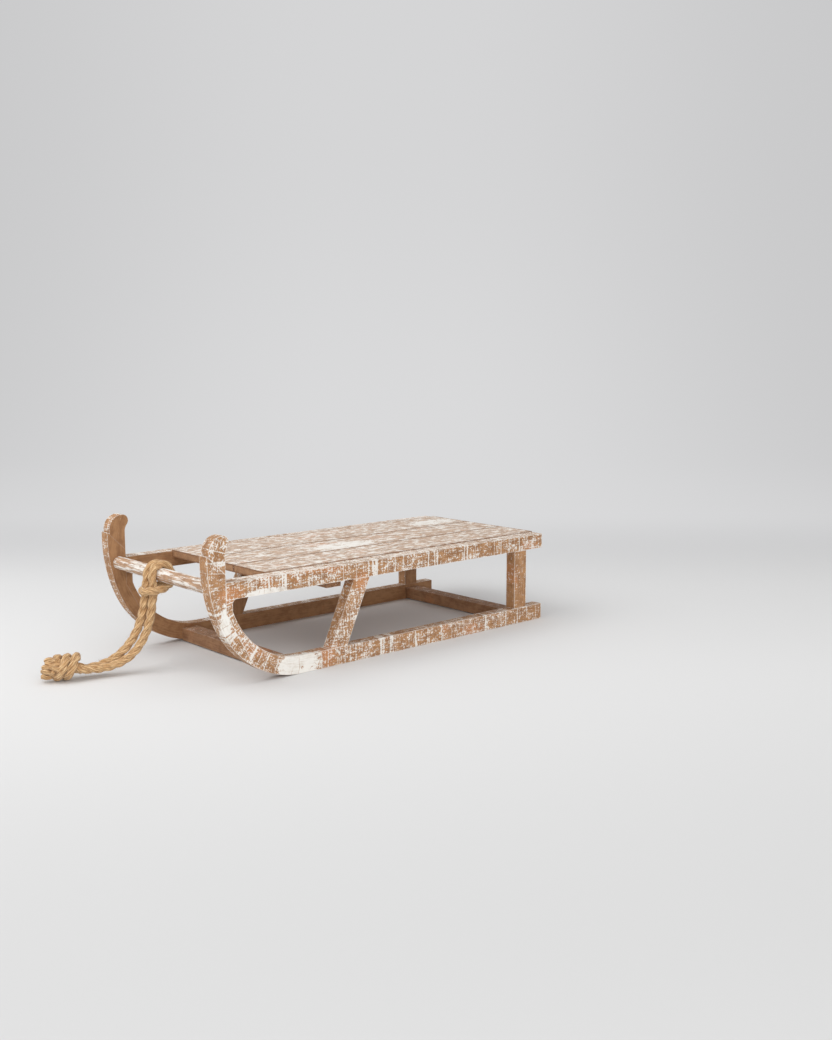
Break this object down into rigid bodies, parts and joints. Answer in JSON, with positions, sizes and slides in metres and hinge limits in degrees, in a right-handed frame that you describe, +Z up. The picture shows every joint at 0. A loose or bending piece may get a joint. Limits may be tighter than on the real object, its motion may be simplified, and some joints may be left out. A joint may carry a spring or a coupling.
{
  "type": "decorative wooden sled",
  "caption": "Wooden sled with bent runners, upright rounded horns, slatted deck, slanted struts, a round tow bar and a knotted rope.",
  "frame": {"origin": "on the floor under the middle of the sled's length and width, the rope left out", "axes": "+X forward, towards the horns; +Y to the sled's left; +Z up"},
  "size_m": [0.7459, 0.27, 0.1945],
  "materials": {
    "washed_frame": "brown stain under worn whitewash",
    "washed_rail": "brown stain under worn whitewash",
    "washed_deck": "pale whitewash over brown grain",
    "stained_wood": "plain brown stain",
    "washed_bar": "heavy whitewash over brown",
    "jute_rope": "laid jute"
  },
  "bodies": {
    "root": {"left_runner": "washed_frame", "right_runner": "washed_frame", "left_horn": "washed_frame", "right_horn": "washed_frame", "left_horn_tip": "washed_frame", "right_horn_tip": "washed_frame", "left_strut": "washed_frame", "right_strut": "washed_frame", "left_post": "washed_frame", "right_post": "washed_frame", "left_rail": "washed_rail", "right_rail": "washed_rail", "left_board": "washed_deck", "middle_board": "washed_deck", "right_board": "washed_deck", "front_crossbar": "stained_wood", "rear_crossbar": "stained_wood", "front_batten": "stained_wood", "middle_batten": "stained_wood", "rear_batten": "stained_wood", "tow_bar": "washed_bar", "rope_hitch": "jute_rope", "left_rope_leg": "jute_rope", "right_rope_leg": "jute_rope", "rope_knot": "jute_rope"}
  },
  "joints": []
}
